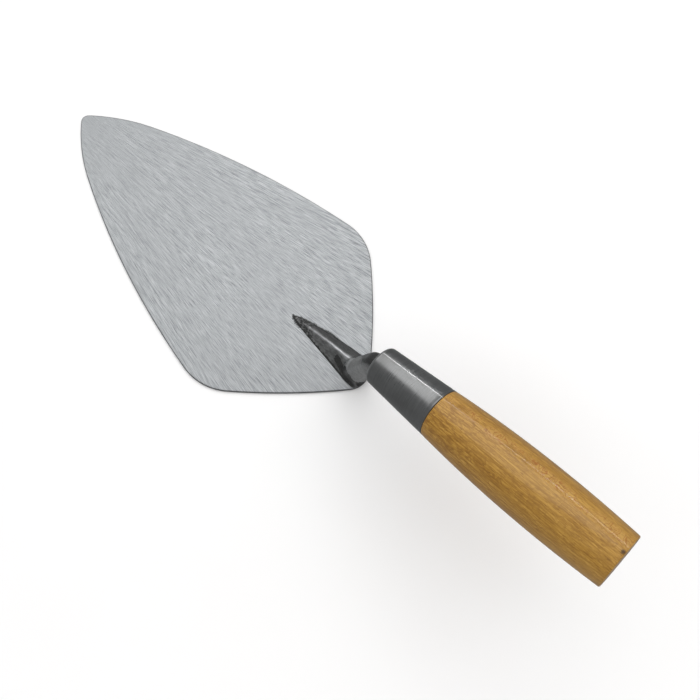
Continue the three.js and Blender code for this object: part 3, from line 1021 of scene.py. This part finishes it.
def studio_floor():
    """A pale sheet that turns into plain white light away from the trowel, so that no horizon shows."""
    bpy.ops.mesh.primitive_circle_add(vertices=96, radius=FLOOR_RADIUS, fill_type="NGON",
                                       location=(0, 0, -FLOOR_DROP))
    floor = bpy.context.object
    floor.name = "studio_floor"
    nodes = Nodes("pale_floor")
    place = object_place(nodes)
    distance = nodes.distance_from(place, (0, 0, 0))
    tint = nodes.noise(nodes.stretched(place, (0.01,) * 3), 1.0, 2, 0.5)
    colour = nodes.ramp(tint, [(0.3, (0.925, 0.915, 0.91)), (0.7, (0.935, 0.93, 0.925))])
    far = nodes.remap(distance, 450, 1100, 0.0, 1.0, True)
    nodes.put(nodes.blend(far, colour, (0.0, 0.0, 0.0)), nodes.shader.inputs["Base Color"])
    nodes.put(nodes.blend(far, (0.0, 0.0, 0.0), (1.0, 1.0, 1.0)), nodes.shader.inputs["Emission Color"])
    nodes.shader.inputs["Emission Strength"].default_value = WHITE_LEVEL
    nodes.shader.inputs["Roughness"].default_value = 0.9
    nodes.shader.inputs["Specular IOR Level"].default_value = 0.0
    floor.data.materials.append(nodes.material)
    hide_from(floor, "glossy")


def studio_backdrop():
    """A white sphere round the whole scene, which only the camera sees."""
    bpy.ops.mesh.primitive_uv_sphere_add(segments=48, ring_count=24, radius=FLOOR_RADIUS - 0.1)
    backdrop = bpy.context.object
    backdrop.name = "studio_backdrop"
    material = bpy.data.materials.new("white_backdrop")
    material.use_nodes = True
    shader = material.node_tree.nodes["Principled BSDF"]
    shader.inputs["Base Color"].default_value = (0, 0, 0, 1)
    shader.inputs["Specular IOR Level"].default_value = 0.0
    shader.inputs["Emission Color"].default_value = (1, 1, 1, 1)
    shader.inputs["Emission Strength"].default_value = WHITE_LEVEL
    backdrop.data.materials.append(material)
    hide_from(backdrop, "diffuse", "glossy", "transmission", "shadow")


def unit_direction(azimuth, elevation):
    turn, rise = math.radians(azimuth), math.radians(elevation)
    return Vector((math.cos(rise) * math.cos(turn), math.cos(rise) * math.sin(turn), math.sin(rise)))


def softbox(name, azimuth, elevation, distance, size, radiance):
    """A square light that faces the trowel from a direction."""
    towards = unit_direction(azimuth, elevation)
    light = bpy.data.lights.new(name, "AREA")
    light.shape = "SQUARE"
    light.size = size
    light.energy = radiance * math.pi * size**2
    holder = bpy.data.objects.new(name, light)
    holder.location = towards * distance
    holder.rotation_euler = towards.to_track_quat("Z", "Y").to_euler()
    bpy.context.scene.collection.objects.link(holder)
    return holder


def strip_light():
    """A long narrow lamp beside the handle, which draws a thin bright line along the varnish."""
    towards = unit_direction(-62, 39)
    across = towards.cross(HANDLE_DIRECTION).normalized()
    along = across.cross(towards)
    light = bpy.data.lights.new("strip_light", "AREA")
    light.shape = "RECTANGLE"
    light.size, light.size_y = STRIP_LENGTH, STRIP_WIDTH
    light.energy = STRIP_RADIANCE * math.pi * STRIP_LENGTH * STRIP_WIDTH
    holder = bpy.data.objects.new("strip_light", light)
    facing = Matrix((along, across, towards)).transposed().to_4x4()
    handle_low, handle_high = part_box("handle")
    place = (handle_low + handle_high) / 2 + towards * STRIP_DISTANCE
    holder.matrix_world = Matrix.Translation(place) @ facing
    bpy.context.scene.collection.objects.link(holder)
    hide_from(holder, "diffuse")


def studio_lights():
    world = bpy.data.worlds.new("studio")
    world.use_nodes = True
    background = world.node_tree.nodes["Background"]
    background.inputs["Color"].default_value = WORLD_COLOUR
    background.inputs["Strength"].default_value = WORLD_STRENGTH
    bpy.context.scene.world = world
    key = softbox("key_softbox", -25, 60, 1.5, 1.35, 1.25)
    hide_from(key, "diffuse")
    strip_light()
    for diffuse_only in (
        softbox("fill_softbox", -75, 58, 2.2, 2.6, 0.95),
        softbox("overhead_softbox", 0, 88, 2.2, 5.0, 1.0),
    ):
        hide_from(diffuse_only, "glossy")
    bpy.context.scene.view_settings.view_transform = "Standard"


def camera():
    """A view from above, behind the handle's left side."""
    sine, cosine = math.sin(CAMERA_ELEVATION), math.cos(CAMERA_ELEVATION)
    down = Matrix(((1, 0, 0), (0, -sine, -cosine), (0, cosine, -sine)))
    world_to_view = Matrix.Rotation(CAMERA_ROLL, 3, "Z") @ down @ Matrix.Rotation(CAMERA_TURN, 3, "Z")
    data = bpy.data.cameras.new("camera")
    data.sensor_width = 36
    data.lens = CAMERA_LENS
    data.clip_start, data.clip_end = 0.01, 50
    eye = bpy.data.objects.new("camera", data)
    flip = Matrix.Diagonal((1, -1, -1))
    facing = (flip @ world_to_view).transposed().to_4x4()
    eye.matrix_world = Matrix.Translation(CAMERA_PLACE) @ facing
    bpy.context.scene.collection.objects.link(eye)
    bpy.context.scene.camera = eye


camera()
place_pieces()
studio_floor()
studio_backdrop()
studio_lights()
